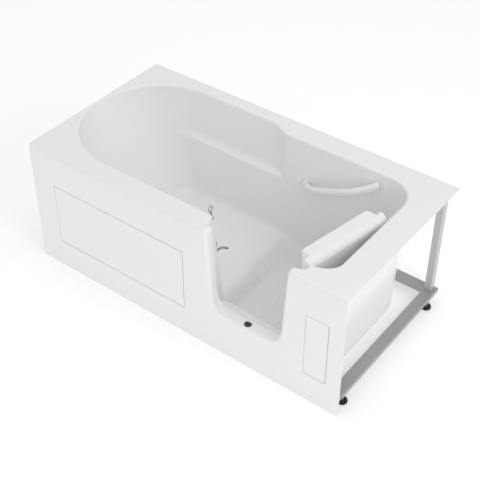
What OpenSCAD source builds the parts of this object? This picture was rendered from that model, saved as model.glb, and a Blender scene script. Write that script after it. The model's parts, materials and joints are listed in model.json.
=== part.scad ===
// Walk-in bathtub with an inward opening door: an acrylic shell and apron on a steel cradle.
// The origin is on the floor at the centre of the footprint. X runs to the drain end, Y runs
// from the apron to the wall side, Z is up, and every length is in millimetres.

/* [Overall] */
// Length over the rim, head end to drain end
tub_l = 1524; // [1480:1:1650]
// Depth over the rim, apron to wall
tub_w = 787; // [760:1:850]
// Height of the rim above the floor
tub_h = 584; // [560:1:640]

/* [Shell] */
// Thickness of the rim plate
rim_t = 6; // [4:0.5:8]
// Thickness of the basin walls
shell_t = 6; // [4:0.5:8]
// Rim width on the apron side
rim_front = 93.5; // [90:0.5:100]
// Rim width on the wall side, beside the door
rim_back = 96.5; // [85:0.5:105]
// Rim width on the wall side, over the armrest
rim_recess = 58.5; // [50:0.5:70]
// Rim width at the drain end
rim_end = 121; // [115:1:130]
// Rim width at the head end
rim_head = 12; // [10:1:30]
// Radius that rolls the rim into the basin
lip_r = 8; // [5:1:9]
// Slope of the basin's long walls, in degrees
wall_draft = 3; // [2:0.5:4]
// Slope of the backrest from upright, in degrees
recline = 28; // [20:1:30]
// Length of the rounded head end at the rim
head_l = 338; // [300:1:350]
// Corner radius of the raised floor at the head end
head_floor_r = 100; // [80:1:120]
// Corner radius of the basin at the drain end, wall side
wall_corner_r = 125; // [100:1:140]
// Corner radius of the basin at the drain end, apron side
door_corner_r = 70; // [50:1:75]
// Radius between the walls and the raised floor
floor_fillet = 35; // [25:1:45]
// Height of the raised floor
floor_h = 84; // [80:1:100]
// Height of the foot well's floor
well_h = 36; // [34:1:44]
// Radius between the walls and the foot well's floor
well_fillet = 25; // [15:1:30]
// Length of the foot well's floor inside
well_l = 511; // [505:1:520]
// Length of the ramp on the wall side of the step
ramp_l = 93; // [70:1:110]
// Height of the armrest ledge's front edge
ledge_h = 361; // [330:1:400]
// Rise of the ledge towards the wall
ledge_rise = 17; // [8:1:30]
// Slope of the recess wall over the ledge, in degrees
recess_draft = 7; // [4:0.5:9]
// Distance from the drain end to the armrest recess
recess_from_end = 742; // [735:1:800]
// Length of the recess's slanted end
recess_slant = 80; // [60:1:100]

/* [Doorway] */
// Distance from the drain end to the doorway's centre line
doorway_from_end = 430.5; // [425:0.5:435]
// Width of the doorway at the rim
doorway_w = 359; // [340:1:362]
// Slope of each side of the doorway, in degrees
doorway_taper = 3.7; // [2:0.1:4.5]
// Height of the sill
sill_h = 205; // [195:1:215]
// Height of the ridge behind the sill's channel, over the sill
ridge_h = 7; // [5:1:10]
// Radius of the doorway's lower corners
doorway_r = 50; // [40:1:55]
// Radius of the doorway's front edge
flare_r = 27; // [20:1:30]
// Depth from the apron's face to the face that the seal meets
seal_depth = 42.5; // [40:0.5:45]
// Space beside the doorway in the door pocket, latch side
pocket_lap = 37; // [34:1:40]
// Space from the hinge axis to the pocket's wall
pocket_hinge_gap = 17; // [16.5:0.5:20]
// Depth of the pocket's floor below the sill
pocket_drop = 50; // [40:1:60]

/* [Apron] */
// Thickness of the apron
apron_t = 5; // [4:0.5:6]
// Height of the rounding at the apron's top edge
apron_roll_h = 35; // [25:1:45]
// Depth of the rounding at the apron's top edge
apron_roll_d = 9.5; // [6:0.5:12]
// Length of the large access panel
panel_l = 674; // [600:1:680]
// Height of the large access panel
panel_h = 283; // [250:1:290]
// Distance from the drain end to the large access panel
panel_from_end = 729; // [725:1:760]
// Height of the panels' lower edges
panel_z = 140; // [120:1:150]
// Length of the small access panel
hatch_l = 95; // [80:1:96]
// Height of the small access panel
hatch_h = 289; // [260:1:300]
// Distance from the drain end to the small access panel
hatch_from_end = 65; // [60:1:70]
// Gap round each access panel
panel_gap = 1.5; // [1:0.25:2.5]

/* [Door] */
// Angle between the closed door and the open door, in degrees
open_angle = 101; // [90:1:101]
// Depth of the door's face behind the apron's face
door_set_back = 3.5; // [3:0.25:5]
// Gap between the door and the doorway's sides
door_gap = 6.5; // [6:0.25:8]
// Gap between the door and the sill's ridge
door_sill_gap = 4; // [3:0.5:6]
// How far the flange laps the doorway's sides
flange_lap = 22; // [18:0.5:23]
// Thickness of the flange
flange_t = 35; // [30:1:36]
// Thickness of the door's skins
door_skin = 4; // [3:0.5:5]
// Thickness of the seal
seal_t = 3.5; // [3:0.25:4]
// Width of the seal
seal_w = 8; // [6:0.5:10]
// Distance from the drain end to the hinge axis
hinge_from_end = 217; // [216:0.5:218]
// Distance from the apron's face to the hinge axis
hinge_depth = 75.5; // [75:0.5:77]
// Radius of a hinge knuckle
knuckle_r = 6; // [5.5:0.25:6.5]
// Radius of a hinge pin
pin_r = 2.5; // [2:0.25:3]
// Height of one hinge
hinge_h = 60; // [50:1:70]

/* [Latch] */
// Height of the latch's pivot
latch_z = 384; // [370:1:400]
// Distance from the pocket's edge to the latch
latch_inset = 12; // [11:0.5:13]
// Distance from the wall to the latch rod
latch_stand = 15; // [14.5:0.25:16]
// Radius of the latch rod
rod_r = 3.5; // [3:0.25:4]
// Reach of the hooked latch finger along the door
finger_l = 37; // [36:0.5:38]
// Angle that the latch turns through, in degrees
latch_turn = 88; // [86:1:92]
// Height of the ring handle's centre over the rim
ring_rise = 7; // [6:0.5:12]
// Radius of the ring handle
ring_r = 11; // [9:0.5:14]
// Thickness of the ring handle
ring_t = 4.5; // [3:0.25:6]

/* [Grab bar] */
// Distance from the drain end to the bar's lower foot
grab_low_from_end = 630; // [600:1:640]
// Distance from the drain end to the bar's upper foot
grab_high_from_end = 292; // [280:1:310]
// Height of the bar's lower foot
grab_low_z = 384; // [360:1:400]
// Height of the bar's upper foot
grab_high_z = 524; // [500:1:530]
// How far the bar stands off the wall
grab_stand = 80; // [70:1:90]
// Width of the bar's section
grab_w = 32; // [28:1:36]
// Thickness of the bar's section
grab_t = 28; // [22:1:28]

/* [Frame] */
// Width of a rail
rail_w = 48; // [40:1:50]
// Height of a rail
rail_h = 20; // [15:1:22]
// Height of the rails' lower faces
rail_z = 40; // [36:1:44]
// Wall of the rails and uprights
tube_t = 2; // [1.5:0.25:3]
// Inset of the end rails from the rim's ends
rail_inset = 17; // [12:1:20]
// Width of an upright along the tub
post_l = 28; // [25:1:32]
// Width of an upright across the tub
post_w = 32; // [28:1:36]
// Radius of a foot's pad
foot_r = 21; // [18:1:24]
// Height of a foot's pad
foot_h = 10; // [8:1:14]
// Radius of a foot's stud
stud_r = 6; // [5:0.5:7]
// How far a foot screws out
foot_travel = 20; // [10:1:20]

/* [Waste] */
// Distance from the drain end to the drain
drain_from_end = 202; // [195:1:215]
// Radius of the drain's outlet, for a 38.1 mm pipe
outlet_r = 19.05; // [16:0.05:19.5]
// Radius of the drain's flange
drain_r = 35; // [32:1:40]
// Depth of the overflow's centre below the rim
overflow_drop = 92; // [84:1:99]
// Radius of the overflow's plate
overflow_r = 38; // [34:1:42]
// How far the pop-up plug lifts
plug_lift = 9; // [6:1:10]

/* [Hidden] */

// Overrun of every cut
cut = 1;
// Gap between pieces that turn or slide past each other
play = 0.3;
// Radial clearance of a running fit
fit = 0.05;
// Segments of a round drawn in facets
arc_n = 10;
round_fn = 48;

white = [0.95, 0.95, 0.95];
steel = [0.76, 0.76, 0.76];
chrome = [0.62, 0.62, 0.64];
black = [0.12, 0.12, 0.12];
grey = [0.55, 0.56, 0.57];

// Planes of the rim and the basin
end_x = tub_l / 2;
head_x = -tub_l / 2;
face_y = -tub_w / 2;
wall_y = tub_w / 2;
basin_front = face_y + rim_front;
basin_back = wall_y - rim_back;
recess_back = wall_y - rim_recess;
basin_end = end_x - rim_end;
overflow_z = tub_h - overflow_drop;
basin_head = head_x + rim_head;
step_x = basin_end - well_l;
seal_y = face_y + seal_depth;

function draft_at(z) = (tub_h - z) * tan(wall_draft);
function front_at(z) = basin_front + draft_at(z);
function back_at(z) = basin_back - draft_at(z);
function head_at(z) = basin_head + (tub_h - z) * tan(recline);
function mix(a, b, s) = a + (b - a) * s;
function depth_share(z) = (tub_h - z) / (tub_h - floor_h);

// One corner of an outline, as an arc of an ellipse
function corner(x, y, rx, ry, from, to) = [
    for (i = [0:arc_n]) let (a = mix(from, to, i / arc_n)) [x + rx * cos(a), y + ry * sin(a)]];

// Plan of the basin at height z, grown by g, with its four rounded corners
function basin_plan(z, g) =
    let (
        back = back_at(z),
        front = front_at(z),
        head = head_at(z),
        rx = mix(head_l, head_floor_r, depth_share(z)),
        ry = mix((basin_back - basin_front) / 2, head_floor_r, depth_share(z)))
    concat(
        corner(basin_end - wall_r, back - wall_r, wall_r + g, wall_r + g, 0, 90),
        corner(head + rx, back - ry, rx + g, ry + g, 90, 180),
        corner(head + rx, front + ry, rx + g, ry + g, 180, 270),
        corner(basin_end - door_corner_r, front + door_corner_r,
            door_corner_r + g, door_corner_r + g, 270, 360));

// Plan of the foot well: the basin's drain end, cut off square at the step
function well_plan(z, g, t) =
    let (back = back_at(z), front = front_at(z))
    concat(
        corner(basin_end - wall_r, back - wall_r, wall_r + g, wall_r + g, 0, 90),
        [[step_x - t, back + g], [step_x - t, front - g]],
        corner(basin_end - door_corner_r, front + door_corner_r,
            door_corner_r + g, door_corner_r + g, 270, 360));

// Plan of the recess over the armrest, from the basin's middle to its back wall
function recess_plan(z, back, g) =
    let (
        head = head_at(z) + shell_t,
        rx = mix(head_l, head_floor_r, depth_share(z)),
        ry = mix((basin_back - basin_front) / 2, head_floor_r, depth_share(z))
            + back - back_at(z),
        right = end_x - recess_from_end)
    concat(
        [[right + g, 0], [right + g, back_at(z) - shell_t]],
        [[right - recess_slant + g, back + g]],
        corner(head + rx, back - ry, rx + g, ry + g, 90, 180),
        [[head - g, 0]]);

// A solid between two rings of points
module between(ring_a, ring_b) {
    n = len(ring_a) + len(ring_b);
    hull() polyhedron(concat(ring_a, ring_b), [[for (i = [0:n - 1]) i]]);
}

// A stack of such solids
module loft(rings) {
    for (k = [0:len(rings) - 2]) between(rings[k], rings[k + 1]);
}

function lift(plan, z) = [for (p = plan) [p.x, p.y, z]];

// Heights and growths down the wall of a form: the rolled lip, the wall and the floor fillet
function lip_levels(t) = t > 0 ? [[tub_h - rim_t / 2, t]] : concat(
    [[tub_h + cut, lip_r]],
    [for (a = [90:-30:0]) [tub_h - lip_r * (1 - sin(a)), lip_r * (1 - cos(a))]]);
function fillet_levels(base, r, t) = [
    for (b = [0:30:90]) [base - t + (r + t) * (1 - sin(b)), t - (r + t) * (1 - cos(b))]];

// The basin down to its raised floor: the hollow with t = 0, its outside with t = shell_t
module basin_form(t) {
    wall_levels = [for (s = [0.25, 0.5, 0.75])
        [mix(tub_h - lip_r, floor_h + floor_fillet, s), t]];
    levels = concat(lip_levels(t), wall_levels, fillet_levels(floor_h, floor_fillet, t));
    loft([for (v = levels) lift(basin_plan(min(v[0], tub_h), v[1]), v[0])]);
}

// The foot well at the drain end, cut off square at the foot of the step
module well_form(t) {
    levels = concat([[floor_h + floor_fillet, t]], fillet_levels(well_h, well_fillet, t));
    loft([for (v = levels) lift(well_plan(v[0], v[1], t), v[0])]);
}

// The ramp beside the step, from the middle to the fillet along the back wall
module ramp_form(t) {
    run = ramp_l + 2 * shell_t;
    drop = t / 2;
    ahead = drop * run / (floor_h - well_h);
    top_x = step_x - ramp_l - ahead;
    side = back_at(floor_h) - floor_fillet + drop;
    between(
        [for (y = [-drop, side], z = [floor_h - drop, floor_h + cut]) [top_x, y, z]],
        [[top_x + run, -drop, well_h - drop], [top_x + run, side, well_h - drop],
            [top_x + run, -drop, floor_h + cut],
            [top_x + run, side + 0.4 * floor_fillet, floor_h + cut]]);
}

// The rounded front half of the step, from the fillet along the apron side to the middle
roll_n = 4;
roll_power = 1.9;
module roll_form(t) {
    run = ramp_l + 2 * shell_t;
    side = front_at(floor_h) + floor_fillet - t / 2;
    function roll_ring(s) =
        let (
            x = step_x - ramp_l + run * s - t,
            z = mix(floor_h, well_h, pow(s, roll_power)) - t / 2)
        [[x, side, z], [x, cut, z],
            [x, side - 0.4 * floor_fillet * s, floor_h + cut], [x, cut, floor_h + cut]];
    for (k = [0:roll_n - 1]) between(roll_ring(k / roll_n), roll_ring((k + 1) / roll_n));
}

// The recess over the armrest, with its sloping ledge
module recess_form(t) {
    ledge_top = ledge_h + ledge_rise;
    back = recess_back - (tub_h - ledge_top) * tan(recess_draft);
    lips = lip_levels(t);
    loft(concat(
        [for (v = lips) let (z = min(v[0], tub_h))
            lift(recess_plan(z, recess_back - (tub_h - z) * tan(recess_draft), v[1]), v[0])],
        [lift(recess_plan(ledge_top, back, t), ledge_top)],
        [lift(recess_plan(ledge_h, back_at(ledge_h), t), ledge_h - t)]));
}

// Outline of the doorway in the front plane, grown by g, between two heights
doorway_x = end_x - doorway_from_end;
function half_width(z) = doorway_w / 2 - (tub_h - z) * tan(doorway_taper);
function doorway_plan(g, bottom, top) =
    let (
        r = doorway_r + g,
        out = (g - r) / cos(doorway_taper),
        zc = bottom + r,
        xc = half_width(zc) + out,
        xt = half_width(top) + g / cos(doorway_taper))
    concat(
        [[doorway_x - xt, top]],
        corner(doorway_x - xc, zc, r, r, 180 + doorway_taper, 270),
        corner(doorway_x + xc, zc, r, r, 270, 360 - doorway_taper),
        [[doorway_x + xt, top]]);

// A flat piece that stands in the front plane between two depths
module slab(y0, y1) {
    translate([0, y1, 0]) rotate([90, 0, 0]) linear_extrude(height = y1 - y0) children();
}

function stand(plan, y) = [for (p = plan) [p.x, y, p.y]];

// The pocket that the door's flange closes into
hinge_x = end_x - hinge_from_end;
hinge_y = face_y + hinge_depth;
pocket_z = sill_h - pocket_drop;
pocket_x = doorway_x - half_width(tub_h) - pocket_lap;
pocket_end = hinge_x + pocket_hinge_gap;

// The basin's corner beyond the open door, a fillet limited by the wall that the door leaves
open_reach = hinge_x - doorway_x + half_width(tub_h) + flange_lap;
wall_r = min(wall_corner_r, back_at(sill_h) - hinge_y - open_reach * sin(open_angle));

module pocket_form(t) {
    top = t > 0 ? tub_h - rim_t / 2 : tub_h + cut;
    low = pocket_z - t;
    slant = (tub_h - pocket_z) * tan(doorway_taper);
    between(
        [[pocket_x - t, seal_y - t, top], [pocket_end + t, seal_y - t, top],
            [pocket_end + t, basin_front + shell_t, top],
            [pocket_x - t, basin_front + shell_t, top]],
        [[pocket_x + slant - t, seal_y - t, low], [pocket_end + t, seal_y - t, low],
            [pocket_end + t, front_at(pocket_z) + shell_t, low],
            [pocket_x + slant - t, front_at(pocket_z) + shell_t, low]]);
}

// Places of the waste and the walls of its pipes
drain_x = end_x - drain_from_end;
pipe_t = 4;
neck_t = 3;
drain_hole_r = outlet_r + neck_t;

module tub_shell() {
    color(white) difference() {
        union() {
            translate([head_x, face_y + apron_roll_d, tub_h - rim_t])
                cube([tub_l, tub_w - apron_roll_d, rim_t]);
            basin_form(shell_t);
            well_form(shell_t);
            ramp_form(shell_t);
            roll_form(shell_t);
            recess_form(shell_t);
            pocket_form(shell_t);
        }
        basin_form(0);
        well_form(0);
        ramp_form(0);
        roll_form(0);
        recess_form(0);
        pocket_form(0);
        slab(seal_y - shell_t - cut, seal_y + cut)
            polygon(doorway_plan(play, sill_h + ridge_h, tub_h + cut));
        doorway_cut(0);
        translate([drain_x, 0, well_h - shell_t - cut])
            cylinder(r = drain_hole_r, h = shell_t + 2 * cut, $fn = round_fn);
        translate([basin_end - cut, 0, overflow_z]) rotate([0, 90, 0])
            cylinder(r = drain_hole_r, h = shell_t + 2 * cut, $fn = round_fn);
    }
}

// The doorway through the apron, with its flared front edge; t thickens it to the outside
module doorway_cut(t) {
    r = flare_r - t;
    rings = [for (a = [0:18:90]) [flare_r - r * sin(a), flare_r - r * cos(a)]];
    levels = concat(t > 0 ? [] : [[flare_r, -cut]], rings, [[t, seal_depth - shell_t]]);
    top = t > 0 ? tub_h : tub_h + cut;
    loft([for (v = levels) stand(doorway_plan(v[0], sill_h - v[0], top), face_y + v[1])]);
}

// Places of the access panels
panel_x = end_x - panel_from_end - panel_l;
hatch_x = end_x - hatch_from_end - hatch_l;
plug_r = 15;
plug_head_lap = 2;
plug_hole_r = plug_r - plug_head_lap;
plug_y = face_y + seal_depth / 2;

module front_apron() {
    color(white) difference() {
        union() {
            difference() {
                translate([head_x, 0, 0]) rotate([90, 0, 90]) linear_extrude(height = tub_l)
                    polygon(concat(
                        [[face_y + apron_t, 0], [face_y, 0]],
                        [for (a = [0:15:90])
                            [face_y + apron_roll_d * (1 - cos(a)),
                                tub_h - apron_roll_h * (1 - sin(a))]],
                        [[face_y + apron_roll_d, tub_h - rim_t],
                            [face_y + apron_t, tub_h - apron_roll_h]]));
                slab(face_y - cut, face_y + apron_t + cut) {
                    translate([panel_x - panel_gap, panel_z - panel_gap])
                        square([panel_l + 2 * panel_gap, panel_h + 2 * panel_gap]);
                    translate([hatch_x - panel_gap, panel_z - panel_gap])
                        square([hatch_l + 2 * panel_gap, hatch_h + 2 * panel_gap]);
                }
            }
            intersection() {
                doorway_cut(apron_t);
                translate([head_x, face_y, 0]) cube([tub_l, seal_depth, tub_h - rim_t]);
            }
        }
        doorway_cut(0);
        translate([doorway_x, plug_y, sill_h - flare_r])
            cylinder(r = plug_hole_r, h = flare_r + cut, $fn = round_fn);
    }
}

module access_panel(x, l, h) {
    color(white) translate([x, face_y, panel_z]) cube([l, apron_t, h]);
}
module large_access_panel() { access_panel(panel_x, panel_l, panel_h); }
module small_access_panel() { access_panel(hatch_x, hatch_l, hatch_h); }

// Spring clips that bridge the gap behind each panel
clip_w = 30;
clip_h = 16;
clip_t = 2;
module clip(x, z) {
    translate([x - clip_w / 2, face_y + apron_t, z - clip_h / 2]) cube([clip_w, clip_t, clip_h]);
}
module panel_clips() {
    color(steel) {
        for (z = [panel_z + clip_w, panel_z + panel_h - clip_w]) {
            clip(panel_x, z);
            clip(panel_x + panel_l, z);
            clip(hatch_x, z);
            clip(hatch_x + hatch_l, z);
        }
    }
}

// Heights of the three hinges, each with two jamb knuckles and a door knuckle between them
hinge_places = [sill_h + hinge_h, (sill_h + tub_h) / 2, tub_h - hinge_h];
knuckle_h = hinge_h / 3;
leaf_t = 2;
module at_hinges() {
    for (z = hinge_places) translate([hinge_x, hinge_y, z - hinge_h / 2]) children();
}
module knuckle(z) {
    translate([0, 0, z]) difference() {
        cylinder(r = knuckle_r, h = knuckle_h - play, $fn = round_fn);
        translate([0, 0, -cut]) cylinder(r = pin_r + fit, h = hinge_h, $fn = round_fn);
    }
}

module hinge_jamb_leaves() {
    arm = pocket_hinge_gap - pin_r - fit;
    color(steel) at_hinges() {
        for (z = [0, 2 * knuckle_h]) {
            knuckle(z);
            difference() {
                translate([0, -leaf_t, z]) cube([pocket_hinge_gap, 2 * leaf_t, knuckle_h - play]);
                translate([0, 0, z - cut])
                    cylinder(r = pin_r + fit, h = hinge_h, $fn = round_fn);
            }
        }
        translate([pocket_hinge_gap - leaf_t, -arm - knuckle_r, 0])
            cube([leaf_t, arm + 2 * knuckle_r, hinge_h]);
    }
}

module hinge_pins() {
    color(chrome) at_hinges() translate([0, 0, -leaf_t]) {
        cylinder(r = pin_r, h = hinge_h + leaf_t, $fn = round_fn);
        cylinder(r = pin_r + leaf_t, h = leaf_t, $fn = round_fn);
    }
}

screw_r = 3;
screw_h = 1.5;
module hinge_jamb_screws() {
    color(chrome) at_hinges()
        for (z = [hinge_h / 4, 3 * hinge_h / 4])
            translate([pocket_hinge_gap - leaf_t - screw_h, -knuckle_r - 2 * screw_r, z])
                rotate([0, 90, 0]) cylinder(r = screw_r, h = screw_h, $fn = round_fn);
}

// The door is drawn closed and swung to where it stands open
door_y = face_y + door_set_back;
flange_y = seal_y + seal_t + fit * 10;
inner_y = flange_y + flange_t;
door_top = tub_h - cut;
door_low = sill_h + ridge_h + door_sill_gap;
flange_low = door_low - flange_lap - door_gap;
module swung() {
    translate([hinge_x, hinge_y, 0]) rotate([0, 0, -open_angle])
        translate([-hinge_x, -hinge_y, 0]) children();
}
module door_plan(g, low, top) {
    polygon(doorway_plan(g, low, top));
}

module door_outer_panel() {
    color(white) swung() difference() {
        slab(door_y, flange_y) door_plan(-door_gap, door_low, door_top);
        slab(door_y + door_skin, flange_y + cut)
            door_plan(-door_gap - door_skin, door_low + door_skin, door_top - door_skin);
    }
}

module door_inner_panel() {
    color(white) swung() difference() {
        slab(flange_y, inner_y) door_plan(flange_lap, flange_low, door_top);
        slab(flange_y + door_skin, inner_y - door_skin)
            door_plan(flange_lap - door_skin, flange_low + door_skin, door_top - door_skin);
        slab(flange_y - cut, flange_y + 2 * door_skin)
            door_plan(-door_gap - door_skin, door_low + door_skin, door_top - door_skin);
    }
}

module door_core() {
    color("khaki") swung() {
        slab(door_y + door_skin, flange_y + door_skin)
            door_plan(-door_gap - door_skin, door_low + door_skin, door_top - door_skin);
        slab(flange_y + door_skin, inner_y - door_skin)
            door_plan(flange_lap - door_skin, flange_low + door_skin, door_top - door_skin);
    }
}

module door_seal() {
    outer = flange_lap - seal_w;
    inner = outer - seal_w;
    color(grey) swung() slab(flange_y - seal_t, flange_y) difference() {
        door_plan(outer, flange_low + seal_w, door_top);
        door_plan(inner, flange_low + 2 * seal_w, door_top + cut);
    }
}

// Door leaves lie on the flange's inner face and reach the pin at the middle knuckle
leaf_reach = 44;
module hinge_door_leaves() {
    rise = inner_y - hinge_y;
    color(steel) swung() at_hinges() {
        knuckle(knuckle_h);
        translate([-leaf_reach, rise, 0]) cube([leaf_reach - knuckle_r, leaf_t, hinge_h]);
        difference() {
            translate([-knuckle_r - cut, 0, knuckle_h])
                cube([knuckle_r + cut, rise + leaf_t, knuckle_h - play]);
            cylinder(r = pin_r + fit, h = hinge_h, $fn = round_fn);
        }
    }
}

module hinge_door_screws() {
    color(chrome) swung() at_hinges()
        for (z = [hinge_h / 4, 3 * hinge_h / 4])
            translate([-leaf_reach + 2 * screw_r, inner_y - hinge_y + leaf_t, z])
                rotate([-90, 0, 0]) cylinder(r = screw_r, h = screw_h, $fn = round_fn);
}

// The latch's own frame: its z runs up the rod and its y points into the basin
latch_x = pocket_x - latch_inset;
module on_latch() {
    translate([latch_x, front_at(latch_z), latch_z]) rotate([wall_draft, 0, 0])
        rotate([0, -doorway_taper, 0]) translate([0, latch_stand, 0]) children();
}

bracket_h = 10;
bracket_w = 16;
bracket_plate = 34;
bracket_t = 2.5;
latch_top = (tub_h + ring_rise - latch_z) / cos(doorway_taper) - ring_r;
bracket_low = 3 * bracket_h;
bracket_high = latch_top - 4 * bracket_h;
module latch_bracket(z) {
    translate([0, 0, z]) {
        difference() {
            union() {
                cylinder(r = bracket_w / 2, h = bracket_h, $fn = round_fn);
                translate([-rod_r, -latch_stand, 0]) cube([2 * rod_r, latch_stand, bracket_h]);
            }
            translate([0, 0, -cut])
                cylinder(r = rod_r + fit, h = bracket_h + 2 * cut, $fn = round_fn);
        }
        translate([-bracket_w / 2, -latch_stand, bracket_h / 2 - bracket_plate / 2])
            cube([bracket_w, bracket_t, bracket_plate]);
    }
}
module latch_brackets() {
    color(chrome) on_latch() for (z = [bracket_low, bracket_high]) latch_bracket(z);
}

module latch_screws() {
    away = bracket_plate / 2 - 1.5 * screw_r;
    color(chrome) on_latch()
        for (z = [bracket_low, bracket_high], s = [-1, 1])
            translate([0, bracket_t - latch_stand, z + bracket_h / 2 + s * away])
                rotate([-90, 0, 0]) cylinder(r = screw_r, h = screw_h, $fn = round_fn);
}

// The rod turns in its brackets between two collars
collar_t = 2.5;
collar_r = rod_r + collar_t;
collar_h = 5;
module latch_rod() {
    color(chrome) on_latch() {
        translate([0, 0, -2 * collar_h])
            cylinder(r = rod_r, h = latch_top - ring_t / 4 + 2 * collar_h, $fn = round_fn);
        for (z = [bracket_low - collar_h - play, bracket_high + bracket_h + play])
            translate([0, 0, z]) cylinder(r = collar_r, h = collar_h, $fn = round_fn);
    }
}

// The ring handle has a flat at its foot that stands on the rod's end
module latch_ring() {
    color(chrome) on_latch() difference() {
        translate([0, 0, latch_top + ring_r]) rotate([90, 0, latch_turn])
            rotate_extrude($fn = round_fn)
                translate([ring_r, 0]) circle(r = ring_t / 2, $fn = round_fn);
        translate([-ring_r, -ring_r, latch_top - ring_t / 4 - 2 * ring_t])
            cube([2 * ring_r, 2 * ring_r, 2 * ring_t]);
    }
}

// The finger is drawn latched, hooking round the pocket's edge onto the strike, and is turned
// back to where it stands open
finger_r = 3.5;
strike_t = 8;
finger_drop = latch_stand * cos(wall_draft) + front_at(latch_z) - inner_y - strike_t - 2 * play;
finger_path = [
    [0, 0], [0.6 * finger_l, -0.1 * finger_drop], [0.84 * finger_l, -0.34 * finger_drop],
    [0.97 * finger_l, -0.65 * finger_drop], [finger_l, collar_h - finger_drop]];
module at_finger() {
    on_latch() rotate([0, 0, latch_turn]) children();
}
function beside(path, w) = [
    for (k = [0:len(path) - 1]) let (
        a = path[max(k - 1, 0)],
        b = path[min(k + 1, len(path) - 1)],
        d = (b - a) / norm(b - a))
    path[k] + w * [-d.y, d.x]];
module latch_finger() {
    left = beside(finger_path, finger_r);
    right = beside(finger_path, -finger_r);
    last = len(right) - 1;
    color(chrome) at_finger() difference() {
        union() {
            translate([0, 0, -finger_r]) linear_extrude(height = 2 * finger_r)
                polygon(concat(left, [for (k = [last:-1:0]) right[k]]));
            translate([0, 0, -collar_h]) cylinder(r = collar_r, h = 2 * collar_h, $fn = round_fn);
        }
        translate([0, 0, -2 * collar_h])
            cylinder(r = rod_r + fit, h = 4 * collar_h, $fn = round_fn);
    }
}
module finger_cap() {
    from = finger_path[len(finger_path) - 2];
    to = finger_path[len(finger_path) - 1];
    color(black) at_finger() translate([to.x, to.y, 0])
        rotate([0, 90, atan2(to.y - from.y, to.x - from.x)])
            cylinder(r = finger_r, h = collar_h - play, $fn = round_fn);
}

// The strike on the door's free edge, which the finger presses
strike_h = 24;
strike_l = 44;
strike_x = latch_x + finger_l - 2 * finger_r;
module latch_keeper() {
    color(chrome) swung() translate([strike_x, inner_y, latch_z - strike_h / 2])
        cube([strike_l, strike_t, strike_h]);
}
module keeper_screws() {
    color(chrome) swung()
        for (s = [-1, 1])
            translate([strike_x + strike_l - 3 * screw_r, inner_y + strike_t,
                latch_z + s * strike_h / 4])
                rotate([-90, 0, 0]) cylinder(r = screw_r, h = screw_h, $fn = round_fn);
}

// The bowed grab bar on the back wall
grab_n = 14;
grab_bend = 3.2;
grab_low_x = end_x - grab_low_from_end;
grab_high_x = end_x - grab_high_from_end;
function grab_z(s) = mix(grab_low_z, grab_high_z, s);
function grab_point(s) = [
    mix(grab_low_x, grab_high_x, s),
    back_at(grab_z(s)) - (grab_stand - grab_t / 2) * (1 - pow(abs(2 * s - 1), grab_bend)),
    grab_z(s)];
module grab_section(s) {
    r = grab_t / 2;
    translate(grab_point(s))
        for (side = [-1, 1]) translate([0, 0, side * (grab_w / 2 - r)]) sphere(r = r, $fn = 14);
}
module grab_bar() {
    color(white) intersection() {
        for (k = [0:grab_n - 1]) hull() {
            grab_section(k / grab_n);
            grab_section((k + 1) / grab_n);
        }
        translate([0, back_at(0) - tub_w, 0]) rotate([-wall_draft, 0, 0])
            translate([grab_low_x - tub_w, 0, -tub_h])
                cube([2 * tub_w, tub_w * cos(wall_draft), 3 * tub_h]);
    }
}
module grab_bar_bolts() {
    color(steel) for (s = [0, 1]) {
        z = grab_z(s);
        translate([mix(grab_low_x, grab_high_x, s), back_at(z), z]) rotate([-90 - wall_draft, 0, 0])
            translate([0, 0, shell_t * cos(wall_draft)])
                cylinder(r = grab_t / 2, h = shell_t, $fn = round_fn);
    }
}

module sill_plug() {
    color(black) translate([doorway_x, plug_y, sill_h]) {
        cylinder(r = plug_r, h = plug_r / 10, $fn = round_fn);
        translate([0, 0, -plug_r]) cylinder(r = plug_hole_r - play, h = plug_r, $fn = round_fn);
    }
}

// A rail or an upright: a rectangular steel tube, long along z
module tube(a, b, l) {
    difference() {
        cube([a, b, l]);
        translate([tube_t, tube_t, -cut]) cube([a - 2 * tube_t, b - 2 * tube_t, l + 2 * cut]);
    }
}
// A rail that lies along X or along Y from the given corner
module rail_x(x, y, l) {
    translate([x, y, rail_z]) rotate([90, 0, 90]) tube(rail_w, rail_h, l);
}
module rail_y(x, y, l) {
    translate([x, y + l, rail_z]) rotate([90, 0, 0]) tube(rail_w, rail_h, l);
}
rail_back_gap = 2.5;
frame_front = face_y + apron_t;
frame_back = wall_y - rail_back_gap;
end_rail_x = end_x - rail_inset - rail_w;
module end_rail(x) {
    color(steel) difference() {
        rail_y(x, frame_front, frame_back - frame_front);
        for (s = [-1, 1]) translate([foot_x(x), s * foot_y, rail_z - cut])
            cylinder(r = stud_r + 2 * play, h = tube_t + 2 * cut, $fn = round_fn);
    }
}
module drain_end_rail() { end_rail(end_rail_x); }
module head_end_rail() { end_rail(-end_rail_x - rail_w); }

module long_rail(y) {
    color(steel) difference() {
        rail_x(rail_w - end_rail_x - rail_w, y, 2 * end_rail_x);
        translate([mid_foot_x, y + rail_w / 2, rail_z - cut])
            cylinder(r = stud_r + 2 * play, h = tube_t + 2 * cut, $fn = round_fn);
    }
}
front_rail_y = frame_front;
rear_rail_y = frame_back - rail_w;
module front_rail() { long_rail(front_rail_y); }
module rear_rail() { long_rail(rear_rail_y); }

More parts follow.
